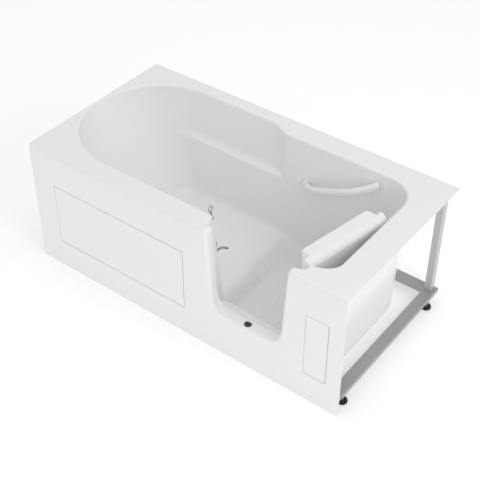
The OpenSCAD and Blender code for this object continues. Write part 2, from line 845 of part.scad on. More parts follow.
// Cross rails under the raised floor, with a pad on each
cross_span = rear_rail_y - front_rail_y - rail_w;
cross_head_gap = 240;
cross_first = step_x - ramp_l - shell_t - rail_w;
cross_gap = (cross_first + end_rail_x - cross_head_gap) / 2;
cross_places = [for (k = [0:2]) cross_first - cross_gap * k];
module cross_rails() {
    color(steel) for (x = cross_places) rail_y(x, front_rail_y + rail_w, cross_span);
}
pad_l = 420;
module floor_pads() {
    color("tan") for (x = cross_places)
        translate([x, -pad_l / 2, rail_z + rail_h])
            cube([rail_w, pad_l, floor_h - shell_t - rail_z - rail_h]);
}

// Bearers that drop below the rails to carry the foot well
bearer_t = 8;
bearer_z = well_h - shell_t - bearer_t;
bearer_places = [step_x + 2 * rail_w, drain_x - drain_r - 2 * rail_w];
module well_bearers() {
    color(steel) for (x = bearer_places) {
        translate([x, front_rail_y, bearer_z])
            cube([rail_w, rear_rail_y + rail_w - front_rail_y, bearer_t]);
        for (y = [front_rail_y, rear_rail_y]) translate([x, y, bearer_z + bearer_t])
            cube([rail_w, rail_w, rail_z - bearer_z - bearer_t]);
    }
}

// Uprights from the rails to the rim, each with a clip on top
clip_plate = 3;
clip_edge = 2;
post_inset = 4;
post_z = rail_z + rail_h;
post_h = tub_h - rim_t - clip_plate - post_z;
post_back = frame_back - rail_w + (rail_w - post_w) / 2;
post_front = frame_front + (rail_w - post_w) / 2;
post_xs = [
    end_rail_x + post_inset, pocket_x - shell_t - 2 * post_l, -end_rail_x - rail_w + post_inset];
module at_posts() {
    for (x = post_xs, y = [post_front, post_back]) translate([x, y, 0]) children();
}
module uprights() {
    color(steel) at_posts() translate([0, 0, post_z]) tube(post_l, post_w, post_h);
}
module upright_clips() {
    color(steel) at_posts() translate([-post_inset, -clip_edge, post_z + post_h])
        cube([post_l + 2 * post_inset, post_w + 2 * clip_edge, clip_plate]);
}

// Levelling feet: a pad and a stud that screws through a nut under the rail
foot_out = 10;
foot_y = -face_y - 2 * rail_w + foot_r;
mid_foot_x = -end_x / 3;
function foot_x(x) = x > 0 ? x + rail_w - foot_out : x + foot_out;
foot_places = [
    [foot_x(end_rail_x), -foot_y], [foot_x(end_rail_x), foot_y],
    [mid_foot_x, front_rail_y + rail_w / 2], [mid_foot_x, rear_rail_y + rail_w / 2],
    [foot_x(-end_rail_x - rail_w), -foot_y], [foot_x(-end_rail_x - rail_w), foot_y]];
nut_r = 10;
nut_h = 10;
stud_top = rail_z + rail_h - tube_t - play;
module foot_nuts() {
    color(steel) for (p = foot_places) translate([p.x, p.y, rail_z - nut_h]) difference() {
        cylinder(r = nut_r, h = nut_h, $fn = 6);
        translate([0, 0, -cut]) cylinder(r = stud_r + fit, h = nut_h + 2 * cut, $fn = round_fn);
    }
}
module foot_pad(p) {
    color(black) translate([p.x, p.y, 0]) {
        cylinder(r = foot_r, h = 0.6 * foot_h, $fn = round_fn);
        cylinder(r = foot_r - 2 * cut, h = foot_h, $fn = round_fn);
    }
}
module foot_stud(p) {
    color(steel) translate([p.x, p.y, foot_h])
        cylinder(r = stud_r, h = stud_top - foot_h, $fn = round_fn);
}

// The drain in the foot well's floor
drain_t = 3;
throat_r = outlet_r - pipe_t;
body_low = 3;
body_top = well_h - shell_t;
neck_r = drain_hole_r - fit * 10;
gasket_t = 2;
stem_r = 4;
seat_h = drain_t / 2;
module drain_flange() {
    color(chrome) translate([drain_x, 0, 0]) {
        rotate_extrude($fn = round_fn) polygon([
            [throat_r, body_top - drain_t], [neck_r, body_top - drain_t], [neck_r, well_h],
            [drain_r, well_h], [drain_r - drain_t, well_h + drain_t],
            [throat_r + drain_t, well_h + drain_t], [throat_r, well_h]]);
        translate([0, 0, body_top - drain_t]) difference() {
            union() {
                cylinder(r = stem_r + drain_t, h = shell_t, $fn = round_fn);
                for (a = [0, 120, 240]) rotate([0, 0, a]) translate([0, -drain_t / 2, 0])
                    cube([throat_r + drain_t / 2, drain_t, drain_t]);
            }
            translate([0, 0, -cut])
                cylinder(r = stem_r + fit, h = shell_t + 2 * cut, $fn = round_fn);
        }
    }
}
module drain_gasket() {
    color(black) translate([drain_x, 0, body_top - gasket_t]) difference() {
        cylinder(r = drain_r, h = gasket_t, $fn = round_fn);
        translate([0, 0, -cut]) cylinder(r = neck_r + play, h = gasket_t + 2 * cut, $fn = round_fn);
    }
}
module drain_body() {
    shelf = body_top - gasket_t;
    seat = body_top - drain_t;
    color(grey) translate([drain_x, 0, 0]) rotate_extrude($fn = round_fn) polygon([
        [throat_r, body_low], [outlet_r, body_low], [outlet_r, seat - 2 * drain_t],
        [drain_r, seat - drain_t], [drain_r, shelf], [neck_r + play, shelf],
        [neck_r + play, seat], [throat_r, seat]]);
}
module plug_cap() {
    color(chrome) translate([drain_x, 0, well_h + drain_t + play]) rotate_extrude($fn = round_fn)
        polygon([[0, 0], [throat_r + 1.5 * drain_t, 0], [throat_r + drain_t, drain_t],
            [0, 1.3 * drain_t]]);
}
module plug_stem() {
    low = body_top - 3 * drain_t;
    color(chrome) translate([drain_x, 0, low])
        cylinder(r = stem_r, h = well_h + drain_t + play - low, $fn = round_fn);
}

// The overflow on the end wall: a plate inside, an elbow outside
module facing_end() {
    translate([basin_end, 0, overflow_z]) rotate([0, -90, 0]) children();
}
module overflow_plate() {
    slot = drain_t;
    color(chrome) facing_end() difference() {
        union() {
            cylinder(r1 = overflow_r, r2 = overflow_r - drain_t, h = 2 * drain_t, $fn = round_fn);
            translate([0, 0, -shell_t]) cylinder(r = neck_r, h = shell_t, $fn = round_fn);
        }
        translate([0, 0, -shell_t - cut])
            cylinder(r = throat_r, h = shell_t + drain_t + cut, $fn = round_fn);
        for (k = [-2:2]) translate([-throat_r / 2, 2 * k * slot - slot / 2, 0])
            cube([throat_r, slot, 3 * drain_t]);
    }
}
module overflow_gasket() {
    color(black) facing_end() translate([0, 0, -shell_t - gasket_t]) difference() {
        cylinder(r = drain_r, h = gasket_t, $fn = round_fn);
        translate([0, 0, -cut]) cylinder(r = throat_r, h = gasket_t + 2 * cut, $fn = round_fn);
    }
}
elbow_l = 68;
elbow_reach = 25;
spigot_l = 28;
elbow_r = outlet_r + neck_t;
module overflow_elbow() {
    elbow_x = basin_end + shell_t + elbow_reach;
    color(grey) difference() {
        union() {
            translate([basin_end + shell_t + gasket_t, 0, overflow_z]) rotate([0, 90, 0])
                cylinder(r = drain_r, h = drain_t, $fn = round_fn);
            translate([basin_end + shell_t + gasket_t, 0, overflow_z]) rotate([0, 90, 0])
                cylinder(r = elbow_r, h = elbow_reach - gasket_t, $fn = round_fn);
            translate([elbow_x, 0, overflow_z]) sphere(r = elbow_r, $fn = round_fn);
            translate([elbow_x, 0, overflow_z - elbow_l + spigot_l])
                cylinder(r = elbow_r, h = elbow_l - spigot_l, $fn = round_fn);
            translate([elbow_x, 0, overflow_z - elbow_l])
                cylinder(r = outlet_r, h = spigot_l + cut, $fn = round_fn);
        }
        translate([basin_end + shell_t, 0, overflow_z]) rotate([0, 90, 0])
            cylinder(r = throat_r, h = elbow_reach, $fn = round_fn);
        translate([elbow_x, 0, overflow_z - elbow_l - cut])
            cylinder(r = throat_r, h = elbow_l + cut, $fn = round_fn);
        translate([elbow_x, 0, overflow_z]) sphere(r = throat_r, $fn = round_fn);
    }
}

tub_shell();
front_apron();
large_access_panel();
small_access_panel();
panel_clips();
hinge_jamb_leaves();
hinge_pins();
hinge_jamb_screws();
latch_brackets();
latch_screws();
grab_bar();
grab_bar_bolts();
sill_plug();
front_rail();
rear_rail();
drain_end_rail();
head_end_rail();
cross_rails();
well_bearers();
uprights();
upright_clips();
floor_pads();
foot_nuts();
drain_flange();
drain_gasket();
drain_body();
overflow_plate();
overflow_gasket();
overflow_elbow();
door_outer_panel();
door_inner_panel();
door_core();
door_seal();
hinge_door_leaves();
hinge_door_screws();
latch_keeper();
keeper_screws();
latch_rod();
latch_ring();
latch_finger();
finger_cap();
plug_cap();
plug_stem();
for (i = [0:5]) {
    foot_pad(foot_places[i]);
    foot_stud(foot_places[i]);
}
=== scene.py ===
import json
import math

import bpy
import numpy as np
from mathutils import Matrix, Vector


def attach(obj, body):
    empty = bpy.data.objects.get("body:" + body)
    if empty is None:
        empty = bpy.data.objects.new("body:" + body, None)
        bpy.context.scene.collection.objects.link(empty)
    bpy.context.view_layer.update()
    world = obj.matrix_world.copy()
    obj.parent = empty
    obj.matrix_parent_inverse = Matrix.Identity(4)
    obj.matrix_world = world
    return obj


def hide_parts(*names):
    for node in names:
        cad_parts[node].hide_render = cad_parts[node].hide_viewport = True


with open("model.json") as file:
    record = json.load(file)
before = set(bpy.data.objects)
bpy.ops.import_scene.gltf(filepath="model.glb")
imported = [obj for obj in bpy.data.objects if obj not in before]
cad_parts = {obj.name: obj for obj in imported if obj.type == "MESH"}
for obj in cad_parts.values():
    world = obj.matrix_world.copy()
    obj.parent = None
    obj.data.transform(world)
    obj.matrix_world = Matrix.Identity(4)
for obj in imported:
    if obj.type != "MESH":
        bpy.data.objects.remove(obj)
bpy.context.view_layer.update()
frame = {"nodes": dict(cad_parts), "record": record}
scene = bpy.context.scene


# ---------- The moulding: rim, basin, door pocket, doorway and apron
# One sheet of white acrylic, formed in one piece over a mould and about 5 mm thick.
# Its upper skin is meshed here from the mould's shape and then thickened downwards.

# Sizes in mm: x runs to the drain end, y to the wall, z up from the floor
end_x, wall_y, rim_z = 762, 393.5, 584
sheet_t = 5
head_trim = 2.2

# Basin walls at the rim, and how they lean inwards on the way down
front_wall, back_wall, drain_wall, head_wall = -300, 297, 641, -754
wall_lean = math.tan(math.radians(3))
front_flare, flare_start, flare_run = 7, 200, 300
recline, recline_depth = math.tan(math.radians(28.2)), 500
head_round_x, head_round_y, low_round, round_power = 334, 317.5, 100, 0.7
drain_round, front_round_x, front_round_y = 125, 92, 75
beyond = 900
wall_round = 38

# Armrest recess in the back wall: its wall, its slanting end and its ledge
recess_wall, recess_lean, recess_end = 335, math.tan(math.radians(7)), 20
slant_x, slant_cos, slant_sin = -60, 0.447, 0.894
ledge_z, ledge_rise, ledge_start, ledge_run = 361, 17, 284, 25
ledge_stops, ledge_cos = (-0.5, 1.6), 0.85
recess_round, ledge_round, recess_join = 6, 9, 5
room_join, back_join, back_join_start, back_join_run = 0.5, 16, 100, 80

# Raised floor, foot well and the step between them
floor_z, well_z, step_x = 84, 36, 37
ramp_fall, ramp_cos = 0.516, 0.889
roll_run, roll_stop, roll_power, roll_slope = 93, 1.3, 1.9, 0.98
roll_end_y, roll_end_round, roll_join = -4, 3, 1
step_round = 10

# Pocket behind the doorway, where the door's flange shuts
pocket_left, pocket_right, pocket_front, pocket_back, pocket_floor = 113, 553, -351, -280, 155
pocket_round, pocket_corner, pocket_join = 8, 12, 7
left_slant_y, left_slant_cos, left_slant_sin, left_slant_round = -306, 0.928, 0.371, 2
right_slant_x, right_slant_cos, right_slant_sin, right_slant_round = 527, 0.497, 0.868, 5

# Doorway, its sill and the rounded edges of the apron
doorway_x, doorway_half, doorway_taper, taper_cos = 331.5, 179.5, 0.06467, 0.998
doorway_round, doorway_back = 60, -340
sill_z, ridge_h, ridge_start, ridge_run = 204.7, 7.5, 32, 5
edge_start, edge_run, edge_in, edge_stop = 549, 35, 9.5, 0.985
lip_round, lip_growth, lip_start, lip_run = 5, 13, 210, 60
inner_round, rim_round = 5, 10


def smooth_max(a, b, k):
    """The larger of two distances, blended over about k where they meet."""
    h = np.maximum(k - np.abs(a - b), 0)
    return np.maximum(a, b) + h * h / (4 * k)


def smooth_min(a, b, k):
    """The smaller of two distances, blended over about k where they meet."""
    return -smooth_max(-a, -b, k)


def round_max(a, b, r):
    """The larger of two distances, with an arc of radius r where they meet on the outside."""
    arc = np.hypot(np.maximum(a + r, 0), np.maximum(b + r, 0)) - r
    return np.where((a > -r) & (b > -r), arc, np.maximum(a, b))


def plan_distance(x, y, sides, corners):
    """Distance, negative inside, to a rectangle in plan whose corners are arcs of ellipses."""
    left, right, front, back = sides
    d = np.maximum(np.maximum(x - right, left - x), np.maximum(y - back, front - y))
    for cx, cy, rx, ry, sx, sy in corners:
        u, v = sx * (x - cx), sy * (y - cy)
        f = np.sqrt((u / rx) ** 2 + (v / ry) ** 2)
        slope = np.sqrt((u / rx ** 2) ** 2 + (v / ry ** 2) ** 2) + 1e-6
        d = np.where((u > 0) & (v > 0), (f - 1) * f / slope, d)
    return d


def basin_walls(x, y, z):
    """Distance to the basin's walls, with the armrest's recess above its ledge."""
    down = np.clip(rim_z - z, 0, None)
    draft = down * wall_lean
    flare = np.clip((x - flare_start) / flare_run, 0, 1)
    front = front_wall - front_flare * flare + draft
    back = back_wall - draft
    head = head_wall + np.minimum(down, recline_depth) * recline
    round_in = np.clip(down / recline_depth, 0, 1) ** round_power
    rx = head_round_x - (head_round_x - low_round) * round_in
    ry = head_round_y - (head_round_y - low_round) * round_in
    far_back = recess_wall - down * recess_lean
    room = plan_distance(x, y, (head, beyond, front, far_back), [
        (head + rx, far_back - ry, rx, ry, -1, 1),
        (head + rx, front + ry, rx, ry, -1, -1)])
    lower = plan_distance(x, y, (-beyond, drain_wall, front, back), [
        (drain_wall - drain_round, back - drain_round, drain_round, drain_round, 1, 1),
        (drain_wall - front_round_x, front + front_round_y, front_round_x, front_round_y, 1, -1)])
    ledge = ledge_z + ledge_rise * np.clip((y - ledge_start) / ledge_run, *ledge_stops)
    recess = smooth_max((x - slant_x) * slant_cos + (y - recess_wall) * slant_sin,
                        x - recess_end, recess_round)
    recess = smooth_max(recess, (ledge - z) * ledge_cos, ledge_round)
    join = room_join + back_join * np.clip((y - back_join_start) / back_join_run, 0, 1)
    return smooth_max(room, smooth_min(lower, recess, recess_join), join)


def stepped_floor(x, y, z):
    """Distance to the floors: the step is a ramp, with a roll over it on the doorway's side."""
    fall = x - step_x
    run = np.clip(fall / roll_run, 0, roll_stop)
    ramp = smooth_min(floor_z - z, (floor_z - fall * ramp_fall - z) * ramp_cos, step_round)
    roll = ((floor_z - (floor_z - well_z) * run ** roll_power - z)
            / np.sqrt(1 + (roll_slope * run ** (roll_power - 1)) ** 2))
    step = smooth_max(ramp, smooth_min(roll, roll_end_y - y, roll_end_round), roll_join)
    return smooth_max(step, well_z - z, step_round)


def door_pocket(x, y, z):
    """Distance to the pocket, whose two front corners are cut off at a slant."""
    left = pocket_left + np.clip(rim_z - z, 0, None) * doorway_taper
    pocket = smooth_max(smooth_max(left - x, x - pocket_right, pocket_round),
                        smooth_max(pocket_front - y, y - pocket_back, pocket_round), pocket_corner)
    pocket = smooth_max(pocket, left_slant_cos * (left - x) - left_slant_sin * (y - left_slant_y),
                        left_slant_round)
    pocket = smooth_max(pocket, right_slant_cos * (x - right_slant_x)
                        - right_slant_sin * (y - pocket_front), right_slant_round)
    return smooth_max(pocket, pocket_floor - z, pocket_round)


def doorway(x, y, z):
    """Distance to the doorway, which tapers down to a sill with a fine ridge along it."""
    ridge = np.clip((y + wall_y - ridge_start) / ridge_run, 0, 1)
    sill = sill_z + ridge_h * ridge * ridge * (3 - 2 * ridge)
    half = doorway_half - np.clip(rim_z - z, 0, None) * doorway_taper
    sides = (np.abs(x - doorway_x) - half) * taper_cos
    return np.maximum(smooth_max(sides, sill - z, doorway_round), y - doorway_back)


def mould(x, y, z):
    """Distance, roughly, to the moulding's upper skin: negative in the material below it."""
    hollow = smooth_max(basin_walls(x, y, z), stepped_floor(x, y, z), wall_round)
    hollow = smooth_min(hollow, door_pocket(x, y, z), pocket_join)
    turn = np.clip((z - edge_start) / edge_run, 0, edge_stop)
    face = -wall_y + edge_in * (1 - np.sqrt(1 - turn * turn)) - y
    lip = lip_round + lip_growth * np.clip((z - lip_start) / lip_run, 0, 1)
    skin = round_max(face, -doorway(x, y, z), lip)
    skin = smooth_max(skin, -hollow, inner_round)
    return smooth_max(skin, z - rim_z, rim_round)


def grid_lines(*runs):
    """Grid positions from runs of (start, end, spacing)."""
    lines = [np.linspace(a, b, max(2, int(round((b - a) / s)) + 1)) for a, b, s in runs]
    return np.unique(np.round(np.concatenate(lines), 4))


def skin_mesh(xs, ys, zs, field):
    """Vertices and quads where field is zero: one vertex to each grid cell that the skin crosses,
    then drawn onto the skin in two steps."""
    probe, longest_step, tiny = 0.5, 3, 1e-9
    grid = (xs, ys, zs)
    val = field(xs[:, None, None], ys[None, :, None], zs[None, None, :]).astype(np.float32)
    cells = [n - 1 for n in val.shape]
    points, owners, faces = [], [], []
    for axis in range(3):
        others = [a for a in range(3) if a != axis]
        v = np.moveaxis(val, axis, 0)
        lo, hi = v[:-1], v[1:]
        cross = np.argwhere((lo < 0) != (hi < 0))
        a, b = lo[tuple(cross.T)], hi[tuple(cross.T)]
        index = np.empty_like(cross)
        index[:, axis] = cross[:, 0]
        index[:, others[0]], index[:, others[1]] = cross[:, 1], cross[:, 2]
        place = np.stack([grid[k][index[:, k]] for k in range(3)], 1)
        line = grid[axis]
        start = line[index[:, axis]]
        place[:, axis] = start + (line[index[:, axis] + 1] - start) * a / (a - b)
        ring = []
        for p, q in ((-1, -1), (0, -1), (0, 0), (-1, 0)):
            cell = index.copy()
            cell[:, others[0]] += p
            cell[:, others[1]] += q
            inside = np.all((cell >= 0) & (cell < cells), axis=1)
            name = (cell[:, 0] * cells[1] + cell[:, 1]) * cells[2] + cell[:, 2]
            points.append(place[inside])
            owners.append(name[inside])
            ring.append(np.where(inside, name, -1))
        ring = np.stack(ring, 1)
        turn = (a < 0) != (axis == 1)
        ring = np.where(turn[:, None], ring, ring[:, ::-1])
        faces.append(ring[np.all(ring >= 0, axis=1)])
    owners, points = np.concatenate(owners), np.concatenate(points)
    names, which = np.unique(owners, return_inverse=True)
    count = np.bincount(which).astype(float)
    verts = np.stack([np.bincount(which, points[:, k]) / count for k in range(3)], 1)
    quads = np.searchsorted(names, np.concatenate(faces))
    for _ in range(2):
        x, y, z = verts.T
        f = field(x, y, z)
        g = np.stack([field(x + probe, y, z) - field(x - probe, y, z),
                      field(x, y + probe, z) - field(x, y - probe, z),
                      field(x, y, z + probe) - field(x, y, z - probe)], 1)
        move = f[:, None] * g / (np.sum(g * g, 1)[:, None] + tiny)
        length = np.linalg.norm(move, axis=1)[:, None] + tiny
        verts = verts - move * np.minimum(1, longest_step / length)
    return verts, quads


def add_mesh(name, verts, faces):
    """A smooth-shaded mesh object from vertices in mm and faces."""
    mesh = bpy.data.meshes.new(name)
    corners = [list(map(int, f)) for f in faces]
    mesh.from_pydata((np.asarray(verts, float) / 1000).tolist(), [], corners)
    mesh.validate()
    mesh.polygons.foreach_set("use_smooth", [True] * len(mesh.polygons))
    obj = bpy.data.objects.new(name, mesh)
    scene.collection.objects.link(obj)
    return obj


fine = 1.0
moulding_v, moulding_f = skin_mesh(
    grid_lines((-772, -760, 6), (-760, -72, 8 * fine), (-72, 36, 3.6 * fine), (36, 190, 4 * fine),
               (190, 470, 8 * fine), (470, 660, 4.5 * fine), (660, 772, 8 * fine)),
    grid_lines((-403, -280, 3.5 * fine), (-280, -12, 8 * fine), (-12, 6, 2 * fine),
               (6, 270, 8 * fine), (270, 345, 3 * fine), (345, 400, 6 * fine)),
    grid_lines((-6, 24, 6), (24, 130, 5 * fine), (130, 340, 8 * fine), (340, 400, 3 * fine),
               (400, 560, 8 * fine), (560, 592, 3.2 * fine)),
    mould)

# Panel openings: the grid line nearest to each edge moves onto it, and the faces within go
openings = [(-643.2, 35.2, 137.8, 425.2), (599.8, 699.2, 137.8, 431.2)]
wide_reach, narrow_reach, upright_reach = 9.5, 5, 8.5
past_corner, same_line, slack, least_area = 9.5, 0.6, 0.2, 0.5
on_face = moulding_v[:, 1] < -wall_y + slack
keep = np.ones(len(moulding_f), bool)
for x0, x1, z0, z1 in openings:
    reach_x = (narrow_reach if x0 > 0 else wide_reach) * fine
    reach_z = upright_reach * fine
    for axis, a, b, c, d, reach in ((0, x0, x1, z0, z1, reach_x), (2, z0, z1, x0, x1, reach_z)):
        other = moulding_v[:, 2 - axis]
        beside = on_face & (other > c - past_corner) & (other < d + past_corner)
        for edge in (a, b):
            near = beside & (abs(moulding_v[:, axis] - edge) < reach)
            if near.any():
                line = moulding_v[near, axis]
                best = line[np.argmin(abs(line - edge))]
                moulding_v[near & (abs(moulding_v[:, axis] - best) < same_line), axis] = edge
    within = (on_face & (moulding_v[:, 0] > x0 - slack) & (moulding_v[:, 0] < x1 + slack)
              & (moulding_v[:, 2] > z0 - slack) & (moulding_v[:, 2] < z1 + slack))
    keep &= ~np.all(within[moulding_f], axis=1)
moulding_f = moulding_f[keep]

# The skin is trimmed to the rim's outline and the floor, and faces left with no area are dropped
moulding_v[:, 0] = np.clip(moulding_v[:, 0], head_trim - end_x, end_x)
moulding_v[:, 1] = np.clip(moulding_v[:, 1], -wall_y, wall_y)
moulding_v[:, 2] = np.clip(moulding_v[:, 2], 0, rim_z)
corner_a, corner_b, corner_c, corner_d = (moulding_v[moulding_f[:, k]] for k in range(4))
area = np.linalg.norm(np.cross(corner_c - corner_a, corner_d - corner_b), axis=1)
moulding_f = moulding_f[area > least_area]
moulding = add_mesh("tub_moulding", moulding_v, moulding_f)
thickness = moulding.modifiers.new("sheet thickness", "SOLIDIFY")
thickness.thickness = sheet_t / 1000
thickness.offset = -1
thickness.use_even_offset = False


def new_group(name, inputs, outputs):
    """A node group with its sockets, its input node and its output node."""
    group = bpy.data.node_groups.new(name, "ShaderNodeTree")
    for label, kind, value in inputs:
        socket = group.interface.new_socket(label, in_out="INPUT", socket_type=kind)
        socket.default_value = value
    for label, kind in outputs:
        group.interface.new_socket(label, in_out="OUTPUT", socket_type=kind)
    return group, group.nodes.new("NodeGroupInput"), group.nodes.new("NodeGroupOutput")


def math_node(tree, operation, a, b=None, c=None):
    """A math node of which each operand is a number or a socket; returns its output."""
    node = tree.nodes.new("ShaderNodeMath")
    node.operation = operation
    for k, value in enumerate((a, b, c)):
        if value is None:
            continue
        if isinstance(value, (int, float)):
            node.inputs[k].default_value = value
        else:
            tree.links.new(value, node.inputs[k])
    return node.outputs[0]


# Slow drift of shade and gloss over a surface
wander, wander_in, wander_out = new_group(
    "surface drift", [("Scale", "NodeSocketFloat", 6.0), ("Fine scale", "NodeSocketFloat", 90.0)],
    [("Shade", "NodeSocketFloat"), ("Gloss", "NodeSocketFloat")])
coords = wander.nodes.new("ShaderNodeTexCoord")
for label, out in (("Scale", "Shade"), ("Fine scale", "Gloss")):
    noise = wander.nodes.new("ShaderNodeTexNoise")
    noise.inputs["Detail"].default_value = 3
    wander.links.new(coords.outputs["Object"], noise.inputs["Vector"])
    wander.links.new(wander_in.outputs[label], noise.inputs["Scale"])
    wander.links.new(noise.outputs["Fac"], wander_out.inputs[out])

# The slip-resistant pattern, in metres: staggered dots on the foot well's floor and its step
dot_pitch, dot_radius, dot_edge, dot_top, dot_blend = 0.0125, 0.36, 7.0, 1.0, 0.3
half_root_two = 0.7071
dots_z, fade_z = (0.02, 0.0795), 0.004
dots_x, dots_y, fade_plan = (0.045, 0.598), (-0.246, 0.246), 0.01
grip, grip_in, grip_out = new_group(
    "slip-resistant pattern", [("Pitch", "NodeSocketFloat", dot_pitch)],
    [("Height", "NodeSocketFloat")])
coords = grip.nodes.new("ShaderNodeTexCoord")
apart = grip.nodes.new("ShaderNodeSeparateXYZ")
grip.links.new(coords.outputs["Object"], apart.inputs[0])
gx, gy, gz = apart.outputs
square = []
for sign in (1.0, -1.0):
    turned = math_node(grip, "MULTIPLY_ADD", gy, sign, gx)
    along = math_node(grip, "MULTIPLY", turned, half_root_two)
    cell = math_node(grip, "DIVIDE", along, grip_in.outputs["Pitch"])
    away = math_node(grip, "SUBTRACT", math_node(grip, "FRACT", cell), 0.5)
    square.append(math_node(grip, "MULTIPLY", away, away))
far = math_node(grip, "SQRT", math_node(grip, "ADD", square[0], square[1]))
rise = math_node(grip, "MULTIPLY", math_node(grip, "SUBTRACT", dot_radius, far), dot_edge)
dots = math_node(grip, "SMOOTH_MIN", rise, dot_top, dot_blend)
dots = math_node(grip, "MAXIMUM", dots, 0.0)


def window(value, ends, soft):
    """1 between two ends, fading to 0 over soft just inside each of them."""
    low, high = ends
    up = math_node(grip, "DIVIDE", math_node(grip, "SUBTRACT", value, low), soft)
    under = math_node(grip, "DIVIDE", math_node(grip, "SUBTRACT", high, value), soft)
    clamp = grip.nodes.new("ShaderNodeClamp")
    grip.links.new(math_node(grip, "MINIMUM", up, under), clamp.inputs["Value"])
    return clamp.outputs[0]


well_area = math_node(grip, "MULTIPLY", window(gz, dots_z, fade_z), window(gx, dots_x, fade_plan))
well_area = math_node(grip, "MULTIPLY", well_area, window(gy, dots_y, fade_plan))
grip.links.new(math_node(grip, "MULTIPLY", dots, well_area), grip_out.inputs["Height"])


def new_material(name, colour, other, rough, other_rough, metal=0.0, coat=0.0, scale=6.0):
    """A procedural material: colour and roughness drift between two values."""
    mat = bpy.data.materials.new(name)
    mat.use_nodes = True
    tree = mat.node_tree
    shader = tree.nodes["Principled BSDF"]
    drift = tree.nodes.new("ShaderNodeGroup")
    drift.node_tree = wander
    drift.inputs["Scale"].default_value = scale
    drift.inputs["Fine scale"].default_value = 90.0
    mix = tree.nodes.new("ShaderNodeMix")
    mix.data_type = "RGBA"
    mix.inputs["A"].default_value = (*colour, 1)
    mix.inputs["B"].default_value = (*other, 1)
    tree.links.new(drift.outputs["Shade"], mix.inputs["Factor"])
    tree.links.new(mix.outputs["Result"], shader.inputs["Base Color"])
    gloss = tree.nodes.new("ShaderNodeMapRange")
    gloss.inputs["To Min"].default_value = rough
    gloss.inputs["To Max"].default_value = other_rough
    tree.links.new(drift.outputs["Gloss"], gloss.inputs["Value"])
    tree.links.new(gloss.outputs["Result"], shader.inputs["Roughness"])
    shader.inputs["Metallic"].default_value = metal
    shader.inputs["Coat Weight"].default_value = coat
    shader.inputs["Coat Roughness"].default_value = 0.08
    return mat


def grey(value):
    """A neutral colour."""
    return (value, value, value)


def white_acrylic(name):
    """The glossy white of the moulding, the panels and the door."""
    return new_material(name, grey(0.91), grey(0.90), 0.32, 0.38, coat=0.4)


dot_strength, dot_height = 0.75, 0.0023
acrylic = white_acrylic("white acrylic")
tree = acrylic.node_tree
pattern = tree.nodes.new("ShaderNodeGroup")
pattern.node_tree = grip
bump = tree.nodes.new("ShaderNodeBump")
bump.inputs["Strength"].default_value = dot_strength
bump.inputs["Distance"].default_value = dot_height
tree.links.new(pattern.outputs["Height"], bump.inputs["Height"])
tree.links.new(bump.outputs["Normal"], tree.nodes["Principled BSDF"].inputs["Normal"])
moulding.data.materials.append(acrylic)
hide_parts("tub_shell", "front_apron")
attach(moulding, "tub")


# ---------- The access panels
# Two flat acrylic panels that spring clips hold in the apron, with a thin gap round them.

panel_edge = 1.0


def soften(obj, width, segments=3):
    """Rounds a piece's sharp edges over a width in mm."""
    bevel = obj.modifiers.new("rounded edges", "BEVEL")
    bevel.width = width / 1000
    bevel.segments = segments
    bevel.limit_method = "ANGLE"
    bevel.angle_limit = math.radians(35)


panel_acrylic = white_acrylic("panel acrylic")
for node in ("large_access_panel", "small_access_panel"):
    panel = frame["nodes"][node]
    panel.data.materials.clear()
    panel.data.materials.append(panel_acrylic)
    soften(panel, panel_edge)


# ---------- The door
# Two acrylic skins bonded round a foam core: a tray that fills the doorway and, behind it, a wider
# flange that carries the seal. It stands open by 101 degrees on its three hinges at the drain end.

open_angle = math.radians(101)
hinge_x, hinge_y = 545, -318
door_taper = math.tan(math.radians(3.7))
door_top, top_round, inner_top_round, top_join = 583, 4, 34, 2
tray_gap, tray_low, tray_face, tray_back = 6.5, 216, -390, -330
tray_corner, tray_face_round, tray_back_round = 60, 16, 4
flange_lap, flange_low, flange_face, flange_back = 22, 187.5, -347, -312
flange_corner, flange_face_round, flange_back_round = 70, 7, 14
tray_join = 15


def door_form(x, y, z):
    """Distance, roughly, to the closed door's skin: negative inside the door."""
    away = np.abs(x - doorway_x)
    half = doorway_half - (rim_z - z) * door_taper
    tray = smooth_max((away - half + tray_gap) * taper_cos, tray_low - z, tray_corner)
    tray = smooth_max(smooth_max(tray, tray_face - y, tray_face_round), y - tray_back,
                      tray_back_round)
    flange = smooth_max((away - half - flange_lap) * taper_cos, flange_low - z, flange_corner)
    flange = smooth_max(smooth_max(flange, flange_face - y, flange_face_round), y - flange_back,
                        flange_back_round)
    block = smooth_min(tray, flange, tray_join)
    return smooth_max(round_max(block, z - door_top, top_round),
                      round_max(y - flange_back, z - door_top, inner_top_round), top_join)


def swing(verts):
    """Points of the closed door carried to where it stands open."""
    x, y, z = np.asarray(verts, float).T
    u, v = x - hinge_x, y - hinge_y
    c, s = math.cos(-open_angle), math.sin(-open_angle)
    return np.stack([hinge_x + u * c - v * s, hinge_y + u * s + v * c, z], 1)


door_v, door_f = skin_mesh(
    grid_lines((124, 180, 4 * fine), (180, 483, 10), (483, 539, 4 * fine)),
    grid_lines((-396, -306, 3.5 * fine)),
    grid_lines((182, 240, 4.5 * fine), (240, 540, 10), (540, 588, 2.5 * fine)), door_form)
door_moulding = add_mesh("door_moulding", swing(door_v), door_f)
door_moulding.data.materials.append(white_acrylic("door acrylic"))
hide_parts("door_outer_panel", "door_inner_panel", "door_core")
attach(door_moulding, "door")


# ---------- The grab bar
# A moulded plastic bar, bowed away from the back wall, whose ends spread onto the wall.

bar_x, bar_run, bar_low, bar_rise = 132, 338, 384, 140
bar_bow, bow_power = 66, 3.2
bar_w, bar_h, bar_spread, spread_power = 28, 32, 0.15, 8
oval_power, bar_sides = 0.8, 20


